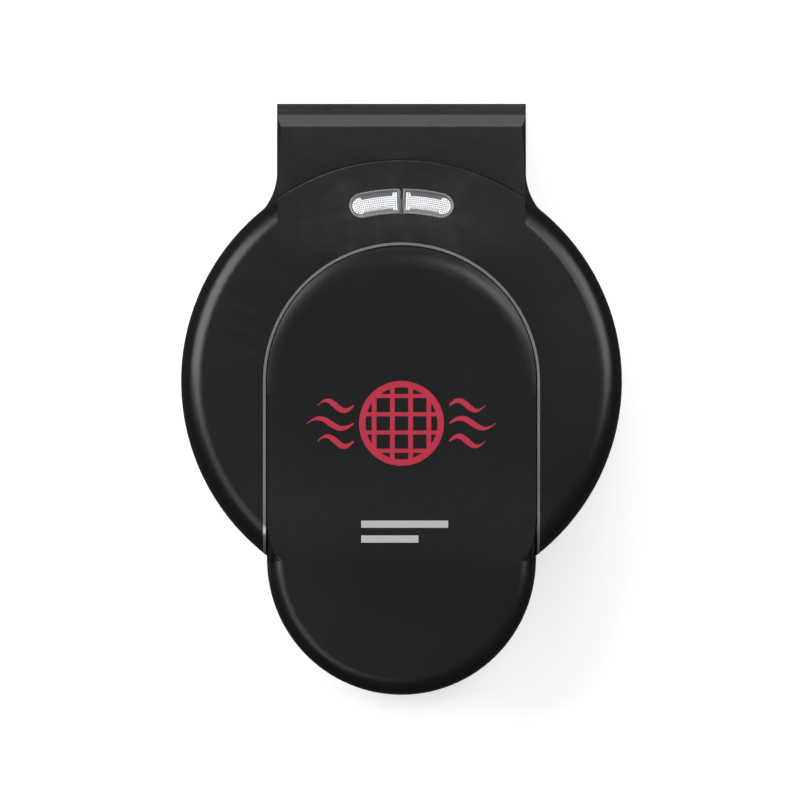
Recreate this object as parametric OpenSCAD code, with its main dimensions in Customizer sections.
// Round countertop waffle maker: a hinged clamshell with two heated plates.
// Millimetres, +Z up, the handle towards -Y and the hinge block towards +Y.
// Every module is drawn about the plates' axis on the table plane; placed() then
// moves it so that the origin is the middle of the footprint.

/* [Body] */
// Diameter of the round body at the base rim
body_d = 210; // [178:1:250]
// Wall thickness of the plastic mouldings
wall = 2.6; // [2.2:0.1:3.2]
// How far the lid outline stands inside the base outline
lid_inset = 0.8; // [0.4:0.1:1.4]
// Height of the base shell
base_h = 39; // [37:1:47]
// Height of the lid shell
lid_h = 40; // [38:1:48]
// Gap between the two closed shells
shell_gap = 1.5; // [1:0.1:2.5]
// Rounding of the lid's top edge
lid_edge_r = 11; // [9:1:18]
// Rounding of the base's bottom edge
base_edge_r = 16; // [10:1:19]
// Height of the rubber feet
foot_h = 5; // [4:0.5:8]
// Diameter of the rubber feet
foot_d = 16; // [12:1:18]

/* [Handle] */
// Width of the tongue-shaped handle
handle_w = 128.4; // [107:0.2:140]
// How far the handle stands out in front of the round body
handle_out = 44; // [37:1:53]
// Depth of the upper handle below the lid top
upper_grip_h = 27; // [24:1:32]
// Depth of the lower handle below the base rim
lower_grip_h = 20; // [17:1:24]
// How far the lower handle's top lies below the base rim
grip_drop = 3; // [2:0.5:6]
// Rounding of the handle's outer edges
grip_edge_r = 8; // [6:0.5:9]
// How far the handle cover stands above the lid top
cover_rise = 1; // [0.5:0.1:1.5]
// Width of the groove round the handle cover
groove_w = 2.2; // [1.9:0.1:2.8]
// Depth of the groove and of the cover's seat below the lid top
seat_depth = 2.4; // [2:0.1:3]
// Width of the bright trim strip that lies in the groove
trim_w = 1.3; // [1:0.1:1.5]

/* [Hinge block] */
// Width of the hinge block
block_w = 118.6; // [110:0.2:130]
// How far the hinge block stands out behind the round body
block_out = 27.2; // [26:0.1:32]
// Radius of the hollow corner between block and body
flare_r = 28.4; // [20:0.2:32]
// Depth of the base's ledge behind the lid's barrel
ledge = 3; // [2:0.2:4]
// Outer radius of the lid's hinge barrel
barrel_r = 12; // [11:0.5:14]
// Clearance under the hinge barrel
barrel_gap = 0.9; // [0.8:0.1:1.5]
// Diameter of the hinge pins
pin_d = 5; // [4:0.5:6]
// Radial running clearance of the hinge pins
pin_play = 0.06; // [0.03:0.01:0.1]
// How far the floating hinge lets the lid rise
float_h = 4; // [2:0.5:5]
// Distance of each hinge lug from the middle
lug_x = 38; // [33:1:42]
// Thickness of each hinge lug
lug_t = 8; // [6:0.5:10]
// Thickness of the lid's hinge ribs
rib_t = 4; // [3:0.5:5]
// Sideways clearance between lug and ribs
lug_play = 0.4; // [0.3:0.1:0.8]

/* [Baking plates] */
// Distance from the body rim to the edge of the plates
plate_margin = 9; // [8:0.5:14]
// Gap between the two closed plates
plate_gap = 0.5; // [0.4:0.1:1.2]
// Depth of the baking hollow in each plate
hollow_depth = 9; // [8:0.5:11]
// Thickness of the plate under its hollow
plate_t = 6; // [5.5:0.5:7]
// Spacing of the square pegs that press the waffle's wells
peg_pitch = 15; // [13:0.5:18]
// Width of each peg
peg_w = 8; // [6:0.5:9.5]
// Height of each peg
peg_h = 6.5; // [5:0.5:7]
// Width of the ribs that quarter the waffle
divider_w = 5; // [4:0.5:7]
// Radius of the heating ring
element_ring_r = 62; // [56:1:70]
// Diameter of the heating tube
element_d = 6.6; // [6:0.1:7]
// Length of the posts on the back of each plate
post_len = 8.7; // [8:0.1:10]
// Distance of the plate screws from the middle
screw_ring_r = 45; // [40:1:48]
// Diameter of the plate screws
screw_d = 4; // [3.5:0.1:4.5]
// Thickness of the sheet-metal heat shields
shield_t = 0.8; // [0.6:0.1:1.2]

/* [Indicator] */
// Radius of the middle line of the curved lens
lens_ring_r = 84.7; // [80:0.1:88]
// Width of the lens
lens_w = 11.9; // [10:0.1:14]
// Half of the angle between the centres of the lens ends
lens_half_angle = 12.8; // [10:0.1:15]
// How far the lens stands above the lid
lens_rise = 0.4; // [0.2:0.1:0.8]
// Length of each neon lamp
lamp_l = 14; // [12:0.5:15]
// Diameter of each neon lamp
lamp_d = 5; // [4:0.5:6]

/* [Cord entry] */
// Distance of the cord entry from the middle
cord_x = 30; // [26:1:34]
// Height of the cord entry's axis
cord_z = 24; // [20:1:26]
// Bore that the mains cord passes through
cord_bore_d = 7.4; // [6:0.2:8]

/* [Hidden] */
$fn = 96;
eps = 0.01;
far = 400;
bite = 1;                              // how deep a rib or post grows into the wall it stands on
body_r = body_d / 2;
lid_r = body_r - lid_inset;
floor_z = foot_h;
split_z = floor_z + base_h;
lid_z = split_z + shell_gap;
top_z = lid_z + lid_h;
mid_z = (split_z + lid_z) / 2;

// Handle
handle_r = handle_w / 2;
handle_y = -(body_r + handle_out - handle_r);
cover_r = handle_r - lid_inset;
seat_r = cover_r + groove_w;
grip_split_z = top_z - grip_edge_r - 7;
grip_low_z = top_z - upper_grip_h;
lower_grip_z = split_z - grip_drop;
shoulder_w = 9.5;                      // width of the soft shoulder along the cover's rear arc
shoulder_drop = cover_rise + 0.6;      // the shoulder ends a little below the lid's top
shoulder_r = (shoulder_w * shoulder_w + shoulder_drop * shoulder_drop) / (2 * shoulder_drop);
shoulder_fade = 6;                     // how far in front of the rear arc's centre the shoulder's lies
run_out = 20;                          // slope at which the front rounding runs out along the sides
grip_top_r = 3;                        // rounding of the lower handle's top edge
seat_wall = 2 * wall - 0.2;            // depth of the thick roof under the cover's seat
part_line = 0.3;                       // open line between parts that meet edge to edge

// Hinge block
block_half = block_w / 2;
rear_y = body_r + block_out;
lid_rear_y = rear_y - ledge;
hinge_y = lid_rear_y - barrel_r;
hinge_z = split_z + barrel_gap + barrel_r;
bevel_run = 5.7;                       // depth of the slanted band along the lid's rear top edge
bevel_drop = 3.3;
ledge_bevel_run = 1.8;                 // depth of the slanted edge along the back of the base's ledge
ledge_bevel_drop = 0.8;
wall_lean = 3.6;                       // how far the lid's rear wall leans in towards its top
flare_pull = 0.6;                      // the flare circle bites this far into the body circle
flare_bite = 0.05;                     // and this far into the side of the block
block_step = 0.8;                      // the lid's block lies this far below the lid's top
line_groove = 0.4;                     // hairline groove behind the step
block_edge_r = 4.3;                    // rounding of the block's side edges
edge_run_out = 4;                      // slope at which that rounding runs out
lug_r = 6;
arm_front = -15;
pin_r = pin_d / 2;
rib_r = 8;
rib_outer_x = lug_x + lug_t / 2 + lug_play;
rib_inner_x = lug_x - lug_t / 2 - lug_play;
notch_top = 7;                         // the lid's notches end this far above the hinge axis
pin_head_r = 4;
pin_head_t = 2;
clip_t = 0.8;

// Plates
plate_r = body_r - plate_margin;
land_w = 5;
land_z = -plate_gap / 2;
hollow_z = land_z - hollow_depth;
back_z = hollow_z - plate_t;
flange_t = 4;
shield_z = back_z - post_len;
post_r = 5.5;
screw_r = screw_d / 2;
screw_head_r = 3.8;
screw_head_h = 2.6;
hole_play = 0.25;
thread_play = 0.05;
ledge_play = 1;
element_r = element_d / 2;
cold_end_r = element_r - 0.4;
element_z = back_z + element_r - 3.2;
element_gap = 56;                      // angle left open between the two ends of the heating ring
cap_angle = 3.5;                       // how far the ring runs on past the axis of each cold end
lead_len = 6;                          // length of the cold ends behind the ring
screw_angles = [90, 210, 330];

// Indicator
lens_t = 3;
lens_lip = 1.2;
lens_play = 0.15;
lamp_box_h = 10;
lamp_box_t = 1.2;

// Base fittings
front_foot = [52, -52];
rear_foot = [48, rear_y - 16];
stem_r = 4;
cover_hw = 36;                         // half width of the wiring cover
cover_len = 38;
cover_t = 2;
cover_y = rear_y - 11 - cover_len / 2;
gland_r = cord_bore_d / 2 + 2.3;
gland_flange_r = gland_r + 2.4;
gland_len = 20;

plate_y = (handle_out - block_out) / 2;

// ---------------------------------------------------------------- helpers

module placed() translate([0, plate_y, 0]) children();

// Draws its children at each screw place of the plates.
module at_screws()
    for (a = screw_angles)
        rotate(a) translate([screw_ring_r, 0, 0]) children();

module both_sides() {
    children();
    mirror([1, 0, 0]) children();
}

// A flat shape in the YZ plane, as wide as w and centred on X.
module across(w) rotate([90, 0, 90]) translate([0, 0, -w / 2]) linear_extrude(w) children();

// The outline of the tongue: a stadium from the plates' axis to the front.
module tongue_plan(r) {
    circle(r);
    translate([0, handle_y]) circle(r);
    translate([-r, handle_y]) square([2 * r, -handle_y]);
}

module tongue(r, z0, z1) translate([0, 0, z0]) linear_extrude(z1 - z0) tongue_plan(r);

module square_from(x0, y0, x1, y1) translate([x0, y0]) square([x1 - x0, y1 - y0]);

// The upper corner of a flat profile, from the axis to r, rounded by e under z1.
module rounded_corner(r, z1, e) {
    square_from(0, z1 - e - eps, r - e, z1);
    intersection() {
        translate([r - e, z1 - e]) circle(e);
        square_from(r - e - eps, z1 - e - eps, r, z1);
    }
}

// Half of a flat profile: from the axis to r, its lower corner rounded by e0, its upper by e1.
module half_profile(r, z0, z1, e0, e1) {
    square_from(0, z0 + e0, r, z1 - e1);
    if (e1 > 0)
        rounded_corner(r, z1, e1);
    if (e0 > 0)
        mirror([0, 1]) rounded_corner(r, -z0, e0);
}

module rounded_disc(r, z0, z1, e0, e1) rotate_extrude() half_profile(r, z0, z1, e0, e1);

// The same profile as a bar along Y, from y0 forwards over a length.
module rounded_bar(r, y0, length, z0, z1, e0, e1)
    translate([0, y0, 0]) rotate([90, 0, 0]) linear_extrude(length) {
        half_profile(r, z0, z1, e0, e1);
        mirror([1, 0]) half_profile(r, z0, z1, e0, e1);
    }

// The lid's dome, grown outwards by g.
module dome(g) rounded_disc(lid_r + g, lid_z, top_z + g, 0, lid_edge_r + g);

// The base's bowl, inset by g.
module bowl(g) rounded_disc(body_r - g, floor_z + g, split_z, base_edge_r - g, 0);

// How far behind the middle the axis of a flare of radius f lies, for a body of radius r and a
// block half as wide as half.
function flare_y(r, half, f) = sqrt(pow(r + f - flare_pull, 2) - pow(half + f - flare_bite, 2));

// The hinge block as a solid of height h, standing on z 0, reaching back to y_far. Its sides
// flare into a body of radius r whose upper edge is rounded by e.
module block_solid(r, half, f, h, e, y_far) {
    x = half + f - flare_bite;
    y_low = flare_y(r, half, f);
    y_top = flare_y(r - e, half, f);
    low = (r - 2 * flare_pull) / norm([x, y_low]);
    top = (r - e - flare_pull) / norm([x, y_top]);
    slope = atan2(y_low - y_top, e);
    translate([-half, 0, 0]) cube([2 * half, y_far, h]);
    both_sides() difference() {
        linear_extrude(h) polygon([
            [half - 2, top * y_top - 3], [top * x, top * y_top], [low * x, low * y_low],
            [x, y_low], [half - 2, y_low]
        ]);
        translate([half - flare_bite, 0, 0]) rotate([90, 0, 90]) linear_extrude(far) polygon([
            [y_low, -1], [y_low, h - e], [y_top, h], [y_top, h + 1], [far, h + 1], [far, -1]
        ]);
        translate([x, y_low, -1]) cylinder(r = f, h = h + 2);
        translate([x, y_low, h - e]) rotate([slope, 0, 0]) cylinder(r = f, h = 4 * e);
    }
}

// Points on a smooth line through the given ones.
function spline(p, n) = [
    for (i = [0 : len(p) - 2], k = [0 : n - 1])
        let (t = k / n, a = p[max(i - 1, 0)], b = p[i], c = p[i + 1], d = p[min(i + 2, len(p) - 1)])
            0.5 * ((2 * b) + (c - a) * t + (2 * a - 5 * b + 4 * c - d) * t * t
                + (3 * b - a - 3 * c + d) * t * t * t),
    p[len(p) - 1]
];

function unit(v) = v / norm(v);
function heading(p, i) = unit(p[min(i + 1, len(p) - 1)] - p[max(i - 1, 0)]);

// A round lead through a list of points, as one closed skin of 8 sides. side is a direction that
// no stretch of the lead runs along; the sides are counted from it.
module lead(points, r, side = [1, 0, 0]) {
    p = spline(points, 5);
    sides = 8;
    rings = [
        for (i = [0 : len(p) - 1])
            let (t = heading(p, i), u = unit(cross(t, side)), v = cross(t, u))
                for (k = [0 : sides - 1])
                    p[i] + r * (cos(360 * k / sides) * u + sin(360 * k / sides) * v)
    ];
    last = len(p) - 1;
    polyhedron(rings, concat(
        [[for (k = [0 : sides - 1]) k]],
        [for (i = [0 : last - 1], k = [0 : sides - 1]) let (n = (k + 1) % sides)
            [i * sides + n, i * sides + k, (i + 1) * sides + k, (i + 1) * sides + n]],
        [[for (k = [sides - 1 : -1 : 0]) last * sides + k]]
    ));
}

// A pan-head screw standing on its head, shank up: the head's seat is at z 0.
module screw(r, head_r, head_h, length) {
    difference() {
        translate([0, 0, -head_h]) cylinder(r = head_r, h = head_h);
        for (a = [0, 90]) rotate(a)
            translate([-head_r * 0.6, -0.5, -head_h - eps]) cube([head_r * 1.2, 1, head_h * 0.55]);
    }
    translate([0, 0, -eps]) cylinder(r = r, h = length);
}

// ---------------------------------------------------------------- base

// The lower handle, solid, inset all round by g.
module lower_grip(g) {
    z0 = lower_grip_z - lower_grip_h + g;
    z1 = lower_grip_z - g;
    translate([0, handle_y, 0]) rounded_disc(handle_r - g, z0, z1, grip_edge_r - g, grip_top_r - g);
    rounded_bar(handle_r - g, -body_r + handle_r, -handle_y - body_r + handle_r, z0, z1,
        grip_edge_r - g, grip_top_r - g);
}

// The base's half of the hinge block, inset by g.
module base_block(g) translate([0, 0, split_z]) mirror([0, 0, 1])
    block_solid(body_r - g, block_half - g, flare_r + g, base_h - g, base_edge_r - g, rear_y - g);

module base_outer() {
    bowl(0);
    base_block(0);
    lower_grip(0);
}

module base_inner() {
    difference() {
        union() {
            bowl(wall);
            base_block(wall);
        }
        translate([0, 0, split_z - wall]) cylinder(r = far, h = far);
    }
    translate([0, 0, split_z - wall - 1]) cylinder(r = plate_r + ledge_play, h = wall + 2);
    intersection() {
        lower_grip(wall);
        translate([-far, -far, 0]) cube([2 * far, far, far]);
    }
}

// A hinge lug: an arm that leans back from the deck to a head with an upright slot.
module hinge_lug() translate([lug_x, hinge_y, hinge_z]) difference() {
    across(lug_t) {
        circle(lug_r);
        translate([0, float_h]) circle(lug_r);
        square_from(-lug_r, 0, lug_r, float_h);
        polygon([
            [-lug_r + 0.2, 1.5], [lug_r - 1, -3], [-3.5, -(hinge_z - split_z) - bite],
            [arm_front, -(hinge_z - split_z) - bite]
        ]);
    }
    across(lug_t + 2) {
        circle(pin_r + pin_play);
        translate([0, float_h]) circle(pin_r + pin_play);
        square_from(-pin_r - pin_play, 0, pin_r + pin_play, float_h);
    }
}

// Cuts the slanted edge along the back of the ledge.
module ledge_bevel() across(2 * far) polygon([
    [rear_y - ledge_bevel_run, split_z + 0.05], [rear_y + 2, split_z + 0.05],
    [rear_y + 2, split_z - ledge_bevel_drop * (1 + 2 / ledge_bevel_run)]
]);

vent_pitch = 9;
vent_w = 3;
vent_l = 30;

module base_vents()
    for (k = [-3 : 3])
        translate([k * vent_pitch - vent_w / 2, 6 - vent_l, floor_z - 1]) cube([vent_w, vent_l, wall + 2]);

module base_shell() color("#1d1d1f") difference() {
    union() {
        difference() {
            base_outer();
            base_inner();
        }
        both_sides() hinge_lug();
        at_screws() translate([0, 0, floor_z + wall - bite])
            cylinder(r = post_r + 0.5, h = mid_z + shield_z - shield_t - floor_z - wall + bite);
        terminal_boss();
        both_bosses_for_clamp();
        wiring_cover_bosses();
    }
    at_screws() {
        translate([0, 0, floor_z - 1]) cylinder(r = screw_r + hole_play, h = far);
        translate([0, 0, floor_z - 1]) cylinder(r = screw_head_r + hole_play, h = 9);
    }
    for (f = [front_foot, rear_foot]) both_sides()
        translate([f[0], f[1], 0]) cylinder(r = stem_r, h = floor_z + wall + 1);
    base_vents();
    wiring_hatch(0.3);
    wiring_cover_holes();
    gland_hole();
    ledge_bevel();
    translate([sleeve_x, sleeve_y, split_z - wall - 1]) cylinder(r = sleeve_r + 1.5, h = wall + 2);
}

module wiring_hatch(play) translate([0, cover_y, floor_z - eps]) {
    translate([-cover_hw - play, -cover_len / 2 - play, -1])
        cube([2 * (cover_hw + play), cover_len + 2 * play, cover_t + 1]);
    translate([-cover_hw + 4, -cover_len / 2 + 4, 0])
        cube([2 * cover_hw - 8, cover_len - 8, wall + 1]);
}

// Places of the wiring cover's screws.
module at_cover_screws()
    for (sx = [-1, 1], sy = [-1, 1])
        translate([sx * (cover_hw - 5.5), cover_y + sy * (cover_len / 2 - 5.5), 0]) children();

module wiring_cover_bosses() at_cover_screws() translate([0, 0, floor_z + cover_t])
    cylinder(r = 3.6, h = 10);

module wiring_cover_holes() at_cover_screws() translate([0, 0, floor_z - 1])
    cylinder(r = 1.5 + thread_play, h = 11);

module wiring_cover() color("#232325") difference() {
    translate([-cover_hw, cover_y - cover_len / 2, floor_z])
        cube([2 * cover_hw, cover_len, cover_t - 0.05]);
    at_cover_screws() {
        translate([0, 0, floor_z - 1]) cylinder(r = 1.5 + hole_play, h = 5);
        translate([0, 0, floor_z - 1]) cylinder(r = 3.2, h = 2.1);
    }
    for (k = [-2 : 2]) translate([k * 8 - 1.25, cover_y - 10, floor_z - 1]) cube([2.5, 20, 4]);
}

module wiring_cover_screws() color("silver") at_cover_screws()
    translate([0, 0, floor_z + 1.1]) screw(1.5, 2.9, 1.1, 7.5);

module rubber_feet() color("#141414") for (f = [front_foot, rear_foot]) both_sides()
    translate([f[0], f[1], 0]) {
        cylinder(d = foot_d, h = foot_h);
        translate([0, 0, foot_h - eps]) cylinder(r = stem_r - 0.1, h = wall + 0.3);
        translate([0, 0, foot_h + wall + 0.2]) cylinder(r1 = stem_r + 0.8, r2 = stem_r - 1.2, h = 3);
    }

// ---------------------------------------------------------------- plates, drawn face up about z 0

module plate_profile() polygon([
    [0, back_z], [plate_r - 6, back_z], [plate_r - 3.5, land_z - flange_t],
    [plate_r, land_z - flange_t], [plate_r, land_z], [plate_r - land_w, land_z],
    [plate_r - land_w - 3, hollow_z], [0, hollow_z]
]);

// True where a whole peg clears the hollow's wall.
function peg_fits(x, y) = norm([abs(x) + peg_w / 2, abs(y) + peg_w / 2]) < plate_r - land_w - 4.5;

module pegs() {
    first = divider_w / 2 + (peg_pitch - peg_w) / 2 + peg_w / 2;
    count = ceil(plate_r / peg_pitch);
    for (sx = [-1, 1], sy = [-1, 1], i = [0 : count], j = [0 : count]) {
        x = sx * (first + i * peg_pitch);
        y = sy * (first + j * peg_pitch);
        if (peg_fits(x, y))
            translate([x - peg_w / 2, y - peg_w / 2, hollow_z - bite]) cube([peg_w, peg_w, peg_h + bite]);
    }
}

module dividers() intersection() {
    for (a = [0, 90]) rotate(a)
        translate([-plate_r, -divider_w / 2, hollow_z - bite])
            cube([2 * plate_r, divider_w, peg_h + bite]);
    translate([0, 0, hollow_z - 2 * bite]) cylinder(r = plate_r - land_w - 1, h = far);
}

module plate() difference() {
    union() {
        rotate_extrude() plate_profile();
        pegs();
        dividers();
        at_screws() translate([0, 0, shield_z]) cylinder(r = post_r, h = post_len + bite);
    }
    translate([0, 0, element_z]) rotate_extrude()
        square_from(element_ring_r - element_r - 0.1, -far, element_ring_r + element_r + 0.1,
            element_r + 0.1);
    at_screws() translate([0, 0, shield_z - 1]) cylinder(r = screw_r + thread_play, h = 11);
    thermostat_places() translate([0, 0, back_z - 1]) cylinder(r = 1.5 + thread_play, h = 4.5);
}

// The heating ring with its two cold ends turned down behind it.
module element_path_end(side)
    rotate(90 + side * element_gap / 2) translate([element_ring_r, 0, element_z]) children();

module heating_element() {
    translate([0, 0, element_z]) rotate(90 + element_gap / 2 - cap_angle)
        rotate_extrude(angle = 360 - element_gap + 2 * cap_angle)
            translate([element_ring_r, 0]) circle(element_r);
    for (side = [-1, 1]) element_path_end(side) {
        translate([0, 0, -lead_len - element_r]) cylinder(r = cold_end_r, h = lead_len + element_r + 1);
        translate([0, 0, -lead_len - element_r - 5]) cylinder(r = 1.3, h = 6);
    }
}

module element_beads() for (side = [-1, 1]) element_path_end(side)
    translate([0, 0, -lead_len - element_r - 3]) difference() {
        cylinder(r = 3, h = 2.9);
        translate([0, 0, -1]) cylinder(r = 1.35, h = 5);
    }

module shield_profile() {
    rise = land_z - flange_t - 0.6;
    polygon([
        [0, shield_z], [plate_r - 13, shield_z], [plate_r - 2.6, shield_z + 9],
        [plate_r - 2.6, rise], [plate_r - 2.6 + shield_t, rise],
        [plate_r - 2.6 + shield_t, shield_z + 9 - shield_t / 2],
        [plate_r - 13 + shield_t / 2, shield_z - shield_t], [0, shield_z - shield_t]
    ]);
}

module heat_shield() difference() {
    rotate_extrude() shield_profile();
    at_screws() translate([0, 0, -far / 2]) cylinder(r = screw_r + hole_play, h = far);
    for (side = [-1, 1]) element_path_end(side) translate([0, 0, -far / 2])
        cylinder(r = element_r + 1.4, h = far);
    translate([thermostat_x, 0, -far / 2]) cylinder(r = 10, h = far);
    translate([-thermostat_x, 0, -far / 2]) cylinder(r = 6, h = far);
}

thermostat_x = 20;
thermostat_r = 8;

module thermostat_places() for (s = [-1, 1]) translate([thermostat_x, s * 12, 0]) children();

// A snap-disc thermostat under its fixing strap, with two blade terminals.
module thermostat() {
    translate([thermostat_x, 0, back_z - 8.1]) cylinder(r = thermostat_r, h = 8);
    translate([thermostat_x, 0, back_z - 8.1]) difference() {
        translate([-3.5, -15, 7]) cube([7, 30, 1]);
        for (s = [-1, 1]) translate([0, s * 12, 6]) cylinder(r = 1.5 + hole_play, h = 3);
    }
    translate([thermostat_x, 0, back_z - 12.1]) cylinder(r = 6, h = 4.1);
    for (s = [-1, 1]) translate([thermostat_x + s * 3 - 0.4, -3, back_z - 18]) cube([0.8, 6, 6.1]);
}

module thermostat_screws() thermostat_places() translate([0, 0, back_z - 1.15]) screw(1.5, 2.8, 1.6, 4.4);

module in_base() translate([0, 0, mid_z]) children();
module in_lid() translate([0, 0, mid_z]) mirror([0, 0, 1]) children();

module plate_screws(seat_z)
    at_screws() translate([0, 0, seat_z]) screw(screw_r, screw_head_r, screw_head_h, shield_z + 9 - seat_z);

// ---------------------------------------------------------------- base fittings

module terminal_block() color("#d8d4c8") difference() {
    translate([terminal_x - 16, terminal_y - 7, split_z - wall - 16]) cube([32, 14, 12]);
    for (k = [-1, 0, 1]) translate([terminal_x + k * terminal_pitch, terminal_y, 0]) {
        translate([0, 0, split_z - wall - 17]) cylinder(r = 2.4, h = 7);
        rotate([90, 0, 0]) translate([0, terminal_z, -10]) cylinder(r = 1.6, h = 20);
    }
    translate([terminal_x + 5, terminal_y, split_z - wall - 17]) cylinder(r = 1.5 + hole_play, h = 14);
}

module terminal_boss() translate([terminal_x + 5, terminal_y, split_z - wall - 4]) difference() {
    cylinder(r = 3.5, h = 4 + bite);
    translate([0, 0, -1]) cylinder(r = 1.5 + thread_play, h = 4);
}

module terminal_block_screw() color("silver") translate([terminal_x + 5, terminal_y, split_z - wall - 16.05])
    screw(1.5, 2.3, 1.4, 15);

module gland_hole() translate([cord_x, rear_y + 1, cord_z]) rotate([90, 0, 0]) {
    cylinder(r = gland_r + 0.1, h = wall + 3);
    cylinder(r = gland_flange_r + 0.1, h = 1 + wall / 2);
}

module cord_gland() color("#161616") translate([cord_x, rear_y, cord_z]) rotate([90, 0, 0]) difference() {
    union() {
        cylinder(r = gland_flange_r, h = wall / 2 - 0.05);
        cylinder(r = gland_r, h = gland_len);
        translate([0, 0, wall + 0.1]) cylinder(r = gland_r + 1.2, h = 1.5);
    }
    translate([0, 0, -1]) cylinder(d = cord_bore_d, h = gland_len + 2);
}

clamp_y = rear_y - gland_len - 9;
clamp_half = 8.5;
terminal_x = -6;
terminal_y = hinge_y - 6;
terminal_z = split_z - wall - 8.5;
terminal_pitch = 10;

module both_bosses_for_clamp() for (s = [-1, 1])
    translate([cord_x + s * clamp_half, clamp_y, cord_z - cord_bore_d / 2 - 0.3]) difference() {
        cylinder(r = 3.6, h = split_z - wall - cord_z + cord_bore_d / 2 + 0.3 + bite);
        translate([0, 0, -1]) cylinder(r = 1.5 + thread_play, h = 11);
    }

module cord_clamp() color("#e4e0d4")
    translate([cord_x, clamp_y, cord_z - cord_bore_d / 2 - 0.35]) difference() {
    translate([-clamp_half - 4, -4, -3]) cube([2 * clamp_half + 8, 8, 3]);
    for (s = [-1, 1]) translate([s * clamp_half, 0, -4]) cylinder(r = 1.5 + hole_play, h = 6);
}

module cord_clamp_screws() color("silver") for (s = [-1, 1])
    translate([cord_x + s * clamp_half, clamp_y, cord_z - cord_bore_d / 2 - 3.4]) screw(1.5, 2.8, 1.6, 12);

earth_at = [-34, 70];

module earth_screw() color("#c9a24a") translate([earth_at[0], earth_at[1], mid_z + shield_z - shield_t]) {
    translate([0, 0, -1.1]) cylinder(r = 4, h = 1.05);
    translate([0, 0, -3.2]) cylinder(r = 3, h = 2.11);
}

fuse_at = [-46, 20];

module thermal_fuse() color("#e8e8ea") translate([fuse_at[0], fuse_at[1], mid_z + shield_z - shield_t - 3.05])
    rotate([90, 0, 0]) {
        cylinder(r = 2.6, h = 26, center = true);
        cylinder(r = 0.7, h = 38, center = true);
    }

module fuse_clip() color("silver")
    translate([fuse_at[0], fuse_at[1], mid_z + shield_z - shield_t]) difference() {
    translate([-4, -4, -6.4]) cube([8, 8, 6.35]);
    translate([0, 0, -3.05]) rotate([90, 0, 0]) cylinder(r = 2.65, h = 20, center = true);
    translate([-2, -5, -2.7]) cube([4, 10, 1.9]);
}

lead_r = 1.3;
end_a = 90 - element_gap / 2;
end_x = element_ring_r * cos(end_a);
end_y = element_ring_r * sin(end_a);
cold_z = mid_z + element_z - lead_len - element_r - 5;
lead_low = 11.5;                       // height at which the leads cross the base
fuse_z = mid_z + shield_z - shield_t - 3.05;

// A lead from a place under the plate up to one of the terminals.
module lead_to_terminal(points, k) {
    x = terminal_x + k * terminal_pitch;
    lead(concat(points, [[x, terminal_y - 14, terminal_z - 8.5], [x, terminal_y - 8.2, terminal_z]]), lead_r);
}

module base_leads() color("#b5482a") {
    lead_to_terminal([
        [end_x, end_y, cold_z - 0.8], [end_x, end_y + 1.5, lead_low + 0.7],
        [end_x - 4, end_y + 9, lead_low], [10, terminal_y - 27, lead_low + 4.5]
    ], 1);
    lead_to_terminal([
        [-end_x, end_y, cold_z - 0.8], [-end_x, end_y + 1.5, lead_low + 0.7],
        [-end_x + 4, end_y + 9, lead_low], [-10, terminal_y - 27, lead_low + 4.5]
    ], 0);
    lead_to_terminal([
        [fuse_at[0], fuse_at[1] + 19.4, fuse_z], [fuse_at[0], fuse_at[1] + 22.5, fuse_z],
        [fuse_at[0] + 4, fuse_at[1] + 40, lead_low + 0.5], [fuse_at[0] + 16, fuse_at[1] + 56, lead_low + 1.5],
        [fuse_at[0] + 24, terminal_y - 25.2, lead_low + 6.5]
    ], -1);
}

// ---------------------------------------------------------------- hinge

// One hinge pin: head outside the outer rib, clip groove inside the inner rib.
module hinge_pin() translate([0, hinge_y, hinge_z]) rotate([0, 90, 0]) difference() {
    union() {
        translate([0, 0, rib_inner_x - rib_t - 3])
            cylinder(r = pin_r, h = rib_outer_x - rib_inner_x + 2 * rib_t + 3.2);
        translate([0, 0, rib_outer_x + rib_t + 0.2]) cylinder(r = pin_head_r, h = pin_head_t);
    }
    translate([0, 0, rib_inner_x - rib_t - 0.2 - clip_t]) difference() {
        cylinder(r = pin_r + 1, h = clip_t);
        translate([0, 0, -1]) cylinder(r = pin_r - 0.6, h = clip_t + 2);
    }
}

module left_hinge_pin() color("silver") mirror([1, 0, 0]) hinge_pin();
module right_hinge_pin() color("silver") hinge_pin();

module hinge_pin_clips() color("#8a8d90") both_sides()
    translate([rib_inner_x - rib_t - 0.2 - clip_t + 0.05, hinge_y, hinge_z]) rotate([0, 90, 0]) difference() {
        cylinder(r = pin_r + 2, h = clip_t - 0.1);
        translate([0, 0, -1]) cylinder(r = pin_r - 0.55, h = 3);
        translate([-0.9, 0, -1]) cube([1.8, 10, 3]);
    }

sleeve_r = 3;
sleeve_x = 14;
sleeve_y = hinge_y - 10.2;
sleeve_half_gap = 0.15;                // half of the gap between the two sleeves on the hinge axis
sleeve_end = [-16, hinge_y - 17.2, hinge_z + 13.6];
sleeve_way = unit([-1, -8, 5.5]);      // the way the lid's sleeve points at its end

module hinge_sleeve_base() color("#3a3330") lead([
    [sleeve_x, sleeve_y - 7, split_z - 11], [sleeve_x, sleeve_y - 2, split_z - 7],
    [sleeve_x, sleeve_y, split_z - 3], [sleeve_x - 0.5, sleeve_y + 1.5, split_z + 3],
    [sleeve_x - 3.5, hinge_y - 4.2, hinge_z - 2.9], [5.5, hinge_y, hinge_z],
    [2.5, hinge_y, hinge_z], [sleeve_half_gap, hinge_y, hinge_z]
], sleeve_r, [0.3, -0.8, 0.9]);

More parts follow.
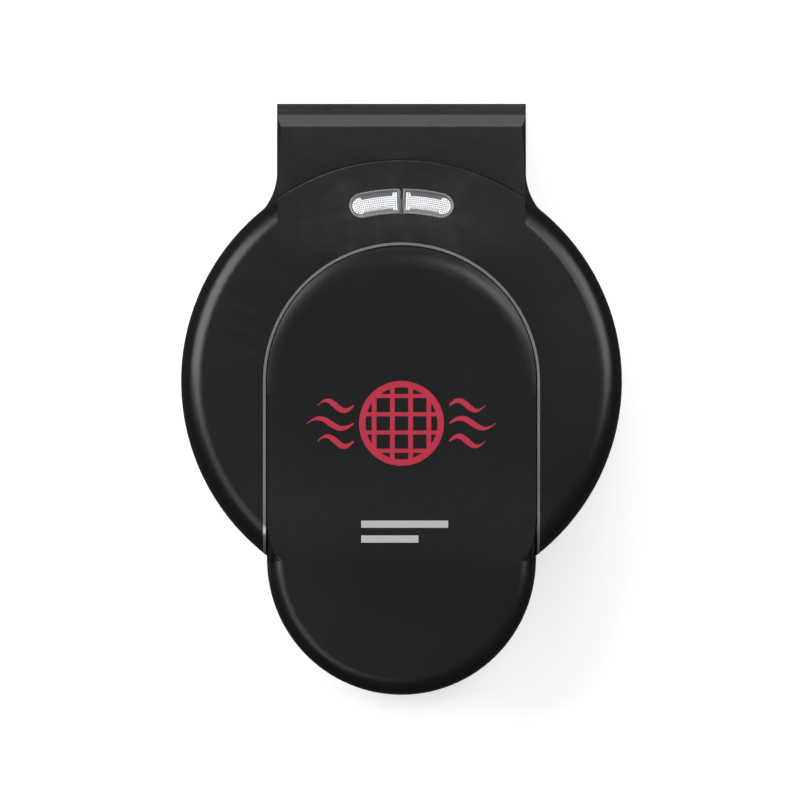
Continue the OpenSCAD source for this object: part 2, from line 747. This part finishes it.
module hinge_sleeve_lid() color("#3a3330") lead([
    [-sleeve_half_gap, hinge_y, hinge_z], [-2.5, hinge_y, hinge_z], [-5.5, hinge_y, hinge_z],
    [-11, hinge_y - 3.2, hinge_z + 3.1],
    [-15, hinge_y - 9.2, hinge_z + 8.1], sleeve_end
], sleeve_r, [0, 0.55, 0.83]);

// ---------------------------------------------------------------- lid

// Side view of the lid's half of the hinge block, inset by g.
module lid_block_side(g) polygon([
    [0, lid_z], [hinge_y, lid_z], [hinge_y, hinge_z], [lid_rear_y - g, hinge_z],
    [lid_rear_y - wall_lean - g, top_z - block_step - bevel_drop - g],
    [lid_rear_y - wall_lean - bevel_run - g / 2, top_z - block_step - g],
    [lid_r + 2, top_z - block_step - g], [lid_r + 2, top_z - g], [0, top_z - g]
]);

// The upper handle's lower half, a tray that hangs on the front of the dome, inset by g.
module grip_tray(g) difference() {
    union() {
        translate([0, handle_y, 0])
            rounded_disc(cover_r - g, grip_low_z + g, grip_split_z - part_line, grip_edge_r - 2 - g, 0);
        rounded_bar(cover_r - g, handle_y + 20, 20, grip_low_z + g, grip_split_z - part_line,
            grip_edge_r - 2 - g, 0);
    }
    translate([0, 0, -1]) cylinder(r = lid_r - wall / 2, h = far);
}

// The lid's half of the hinge block, inset by g, its top lowered by drop.
module lid_block(g, drop) intersection() {
    translate([0, 0, lid_z]) block_solid(lid_r - g, block_half - lid_inset - g, flare_r + g,
        lid_h - g - drop, lid_edge_r - g, lid_rear_y + 1);
    across(2 * far) lid_block_side(g);
}

module lid_outer() {
    dome(0);
    difference() {
        union() {
            lid_block(0, block_step);
            block_barrel(0);
            intersection() {
                lid_block(0, 0);
                rounded_disc(lid_r, lid_z, top_z, 0, block_step);
            }
        }
        both_sides() block_edge_cut();
        translate([0, 0, top_z - block_step - line_groove]) linear_extrude(far) difference() {
            circle(lid_r + line_groove);
            circle(lid_r);
            translate([-far, -2 * far + 40]) square(2 * far);
        }
    }
}

// The cylinder of the hinge barrel below the lid's rim.
module block_barrel(g) intersection() {
    translate([0, hinge_y, hinge_z]) across(block_w - 2 * lid_inset - 2 * g) circle(barrel_r - g);
    translate([-far, hinge_y, 0]) cube([2 * far, far, hinge_z]);
}

// Rounds the block's side edges along the top; the rounding runs out towards the body.
module block_edge_cut() translate([0, lid_rear_y + 1, top_z - block_step]) rotate([-edge_run_out, 0, 0])
    edge_cutter(block_half - lid_inset + flare_bite, 0, block_edge_r, 70);

module lid_inner() {
    difference() {
        union() {
            dome(-wall);
            lid_block(wall, 0);
        }
        translate([0, 0, -1]) cylinder(r = far, h = lid_z + wall + 1);
        tongue(seat_r + wall, grip_split_z - 3, far);
    }
    block_barrel(wall);
    intersection() {
        dome(-seat_wall);
        tongue(seat_r + wall, grip_split_z - 3 - eps, far);
    }
    translate([0, 0, lid_z - 1]) cylinder(r = plate_r + ledge_play, h = wall + 2);
    translate([0, 0, lid_z - 1]) linear_extrude(wall + 2) difference() {
        square_from(-block_half + lid_inset + wall, 60, block_half - lid_inset - wall, hinge_y);
        circle(lid_r - wall / 2);
    }
}

// The seat that the handle cover and its trim lie in, following the dome's shape.
module cover_seat() difference() {
    tongue(seat_r, lid_z, top_z + 1);
    dome(-seat_depth);
    translate([0, 0, 0]) cylinder(r = far, h = grip_split_z - part_line);
}

module hinge_rib(x0) translate([x0 + rib_t / 2, 0, 0]) across(rib_t) {
    translate([hinge_y, hinge_z]) circle(rib_r);
    square_from(hinge_y - rib_r, hinge_z, hinge_y + rib_r - 1, top_z - bevel_drop - wall);
}

// The notch in the barrel that lets a lug through while the lid turns.
module barrel_notch(x, w) translate([x - w / 2, hinge_y - 1, 0])
    cube([w, barrel_r + 3, hinge_z + notch_top]);

module lens_plan(r) {
    rotate(90 - lens_half_angle) translate([lens_ring_r, 0]) circle(r);
    rotate(90 + lens_half_angle) translate([lens_ring_r, 0]) circle(r);
    difference() {
        circle(lens_ring_r + r);
        circle(lens_ring_r - r);
        for (s = [-1, 1]) rotate(90 + s * (lens_half_angle + 90)) translate([0, -far]) square([far, 2 * far]);
        rotate(180) translate([-far, 0]) square(2 * far);
    }
}

module lamp_bosses() for (s = [-1, 1]) rotate(90 + s * (lens_half_angle + 9))
    translate([lens_ring_r - 2, 0, top_z - wall - lens_t - 4]) difference() {
        cylinder(r = 3.4, h = lens_t + 4 + bite);
        translate([0, 0, -1]) cylinder(r = 1.5 + thread_play, h = 6);
    }

module lid_shell() color("#1b1b1d") difference() {
    union() {
        difference() {
            lid_outer();
            lid_inner();
        }
        both_sides() {
            hinge_rib(rib_outer_x);
            hinge_rib(rib_inner_x - rib_t);
        }
        difference() {
            grip_tray(0);
            translate([0, 0, eps]) grip_tray(wall);
        }
        at_screws() translate([0, 0, mid_z - shield_z + shield_t])
            cylinder(r = post_r + 0.5, h = top_z - seat_wall + bite - mid_z + shield_z - shield_t);
        lamp_bosses();
        cover_screw_posts();
    }
    cover_seat();
    at_screws() {
        translate([0, 0, mid_z - shield_z]) cylinder(r = screw_r + hole_play, h = far);
        translate([0, 0, top_z - 2 * seat_depth - screw_head_h])
            cylinder(r = screw_head_r + hole_play, h = far);
    }
    translate([0, hinge_y, hinge_z]) rotate([0, 90, 0])
        cylinder(r = pin_r + pin_play, h = 2 * (rib_outer_x + rib_t + 1), center = true);
    both_sides() barrel_notch(lug_x, lug_t + 2 * lug_play);
    barrel_notch(sleeve_x - 1.5, 5 * sleeve_r);
    translate([0, 0, top_z - wall - 1]) linear_extrude(far) lens_plan(lens_w / 2 + lens_play);
    cover_screw_holes();
}

// Outside a quarter round of radius e whose flat sides end at [x, z], as a cutter along Y.
module edge_cutter(x, z, e, length) translate([x, 0, z]) rotate([90, 0, 0]) linear_extrude(length)
    difference() {
        square_from(-e, -e, 2, 2);
        translate([-e, -e]) circle(e);
    }

// The handle cover: the tongue's whole top. Its edge is rounded round the front, and the
// rounding runs out where the handle meets the body; a soft shoulder follows the rear arc.
module cover_outer() {
    z1 = top_z + cover_rise;
    difference() {
        tongue(cover_r, grip_split_z, z1);
        shoulder_cut(z1);
        both_sides() translate([0, handle_y, z1 + 2 * flare_bite]) rotate([run_out, 0, 0])
            translate([0, 45, 0]) edge_cutter(cover_r, 0, grip_edge_r, 45);
        translate([0, handle_y, z1 - grip_edge_r]) intersection() {
            difference() {
                cylinder(r = cover_r + 2, h = grip_edge_r + 1);
                rounded_disc(cover_r, -grip_edge_r - 1, grip_edge_r, 0, grip_edge_r);
            }
            translate([-far, -2 * far, 0]) cube(2 * far);
        }
    }
}

// The soft shoulder, turned about an axis a little in front of the rear arc's own, so that it
// fades out towards the sides.
module shoulder_cut(z) intersection() {
    translate([0, -shoulder_fade, z]) rotate_extrude() difference() {
        square_from(cover_r + shoulder_fade - shoulder_w, -shoulder_drop - 0.2,
            cover_r + shoulder_fade + 2, 1);
        translate([cover_r + shoulder_fade - shoulder_w, -shoulder_r]) circle(shoulder_r, $fn = 360);
    }
    translate([-far, -shoulder_fade, 0]) cube([2 * far, far, far]);
}

module handle_cover() color("#1d1d1f") difference() {
    union() {
        difference() {
            cover_outer();
            intersection() {
                tongue(cover_r - wall, grip_split_z - 1, top_z + cover_rise - wall);
                translate([-far, -far, 0]) cube([2 * far, far, far]);
            }
        }
        cover_bosses();
    }
    dome(-seat_depth + 0.1);
    translate([0, 0, top_z - seat_depth - far + 0.1]) linear_extrude(far) difference() {
        circle(far);
        translate([-far, -2 * far - body_r + lid_edge_r]) square(2 * far);
    }
    at_cover_screws_up() translate([0, 0, grip_low_z])
        cylinder(r = 1.5 + thread_play, h = top_z - grip_low_z - 4);
}

module at_cover_screws_up() for (s = [-1, 1]) translate([s * 34, handle_y - 24, 0]) children();

module cover_bosses() at_cover_screws_up() translate([0, 0, grip_split_z])
    cylinder(r = 3.6, h = top_z + cover_rise - grip_split_z - wall / 2);

module cover_screw_posts() at_cover_screws_up() translate([0, 0, grip_low_z + wall - bite])
    cylinder(r = 4.6, h = grip_split_z - part_line - grip_low_z - wall + bite);

module cover_screw_holes() at_cover_screws_up() {
    translate([0, 0, grip_low_z - 1]) cylinder(r = 1.5 + hole_play, h = far);
    translate([0, 0, grip_low_z - 1]) cylinder(r = 3.2, h = 4);
}

module handle_cover_screws() color("silver") at_cover_screws_up()
    translate([0, 0, grip_low_z + 3]) screw(1.5, 2.9, 1.6, 18);

// The bright strip in the groove beside the cover, bent down over the dome's edge.
module handle_trim() color("#b8bcc0") difference() {
    intersection() {
        tongue(cover_r + 0.6 + trim_w, grip_split_z, top_z + 1);
        dome(0.1);
        translate([-far, -far, lid_z]) cube(2 * far);
    }
    dome(-seat_depth + 0.1);
    tongue(cover_r + 0.6, lid_z, top_z + 2);
}

module indicator_lens() color("#e9ecee", 0.6) {
    translate([0, 0, top_z - wall - lens_lip]) linear_extrude(wall + lens_lip + lens_rise)
        lens_plan(lens_w / 2);
    translate([0, 0, top_z - wall - lens_lip]) linear_extrude(lens_lip - 0.05) lens_plan(lens_w / 2 + 1.4);
}

lamp_box_z = top_z - wall - lens_lip - 0.1;

module lamp_housing() color("#f2f2ee") difference() {
    union() {
        translate([0, 0, lamp_box_z - lamp_box_h]) linear_extrude(lamp_box_h) lens_plan(lens_w / 2 + 1.4);
        for (s = [-1, 1]) rotate(90 + s * (lens_half_angle + 9))
            translate([lens_ring_r - 2, 0, top_z - wall - lens_t - 5.1]) cylinder(r = 3.4, h = 1);
        for (s = [-1, 1]) rotate(90 + s * (lens_half_angle + 5))
            translate([lens_ring_r - 3.5, -4, top_z - wall - lens_t - 5.1]) cube([3, 8, 1]);
    }
    difference() {
        translate([0, 0, lamp_box_z - lamp_box_h + lamp_box_t]) linear_extrude(lamp_box_h)
            lens_plan(lens_w / 2);
        translate([-0.8, 0, 0]) cube([1.6, far, far]);
    }
    for (s = [-1, 1]) rotate(90 + s * (lens_half_angle + 9))
        translate([lens_ring_r - 2, 0, 0]) cylinder(r = 1.5 + hole_play, h = far);
}

module lamp_housing_screws() color("silver") for (s = [-1, 1]) rotate(90 + s * (lens_half_angle + 9))
    translate([lens_ring_r - 2, 0, top_z - wall - lens_t - 5.15]) screw(1.5, 2.8, 1.6, 4.5);

// A neon lamp lying across the housing with its two wire ends.
module lamp(side) rotate(90 + side * (lens_half_angle / 2 + 1.2))
    translate([lens_ring_r, 0, lamp_box_z - lamp_box_h + lamp_box_t + lamp_d / 2 + 0.6]) rotate([90, 0, 0]) {
        cylinder(d = lamp_d, h = lamp_l - 4, center = true);
        translate([0, 0, side * (lamp_l / 2 - 2.4)]) sphere(d = lamp_d - 0.6);
        cylinder(r = 0.5, h = lamp_l, center = true);
    }

module power_lamp() color("#d9523a") lamp(1);
module ready_lamp() color("#79c47c") lamp(-1);

// The lid's two leads pass the lamp housing on either side and meet at the sleeve's end.
module lid_leads() color("#b5482a") {
    z = 2 * mid_z - cold_z;
    for (s = [-1, 1]) {
        tail = sleeve_end + [s * 1.5, 0, 0];
        out = [
            [s * end_x, end_y, z + 0.8], [s * (end_x + 0.5), end_y + 2, z + 2.8],
            [s * (end_x + 7), end_y + 12, z + 2.8], [s * (end_x + 12), end_y + 25, z + 2.3],
            [s * (end_x + 8), end_y + 34, z + 1.8]
        ];
        back = s < 0 ? [[-26, hinge_y - 24.2, z + 1.3]]
            : [[25, hinge_y - 17, z + 1.3], [5, hinge_y - 16.5, z + 1.3], [-8, hinge_y - 19.5, z + 0.8]];
        near = tail + 5.5 * sleeve_way + [s * 1.4, 0, 0];
        lead(concat(out, back, [near, tail + 0.7 * sleeve_way]), lead_r, [0.3, 0.2, 1]);
    }
}

// ---------------------------------------------------------------- the parts

placed() base_shell();
placed() wiring_cover();
placed() wiring_cover_screws();
placed() rubber_feet();
placed() color("#2a2a2c") in_base() plate();  // lower_plate
placed() color("#6f6a64") in_base() heating_element();  // lower_heating_element
placed() color("white") in_base() element_beads();  // lower_element_beads
placed() color("#b9bcbe") in_base() heat_shield();  // lower_heat_shield
placed() color("silver") in_base()  // lower_plate_screws
    plate_screws(floor_z + 8 - mid_z);
placed() color("#cfcbc0") in_base() thermostat();  // lower_thermostat
placed() color("silver") in_base()  // lower_thermostat_screws
    thermostat_screws();
placed() thermal_fuse();
placed() fuse_clip();
placed() terminal_block();
placed() terminal_block_screw();
placed() cord_gland();
placed() cord_clamp();
placed() cord_clamp_screws();
placed() earth_screw();
placed() base_leads();
placed() left_hinge_pin();
placed() right_hinge_pin();
placed() hinge_pin_clips();
placed() lid_shell();
placed() handle_cover();
placed() handle_trim();
placed() handle_cover_screws();
placed() indicator_lens();
placed() lamp_housing();
placed() lamp_housing_screws();
placed() power_lamp();
placed() ready_lamp();
placed() color("#2a2a2c") in_lid() plate();  // upper_plate
placed() color("#6f6a64") in_lid() heating_element();  // upper_heating_element
placed() color("white") in_lid() element_beads();  // upper_element_beads
placed() color("#b9bcbe") in_lid() heat_shield();  // upper_heat_shield
placed() color("silver") in_lid()  // upper_plate_screws
    plate_screws(mid_z - top_z + 2 * seat_depth + screw_head_h - 0.05);
placed() color("#cfcbc0") in_lid() thermostat();  // upper_thermostat
placed() color("silver") in_lid()  // upper_thermostat_screws
    thermostat_screws();
placed() lid_leads();
placed() hinge_sleeve_base();
placed() hinge_sleeve_lid();
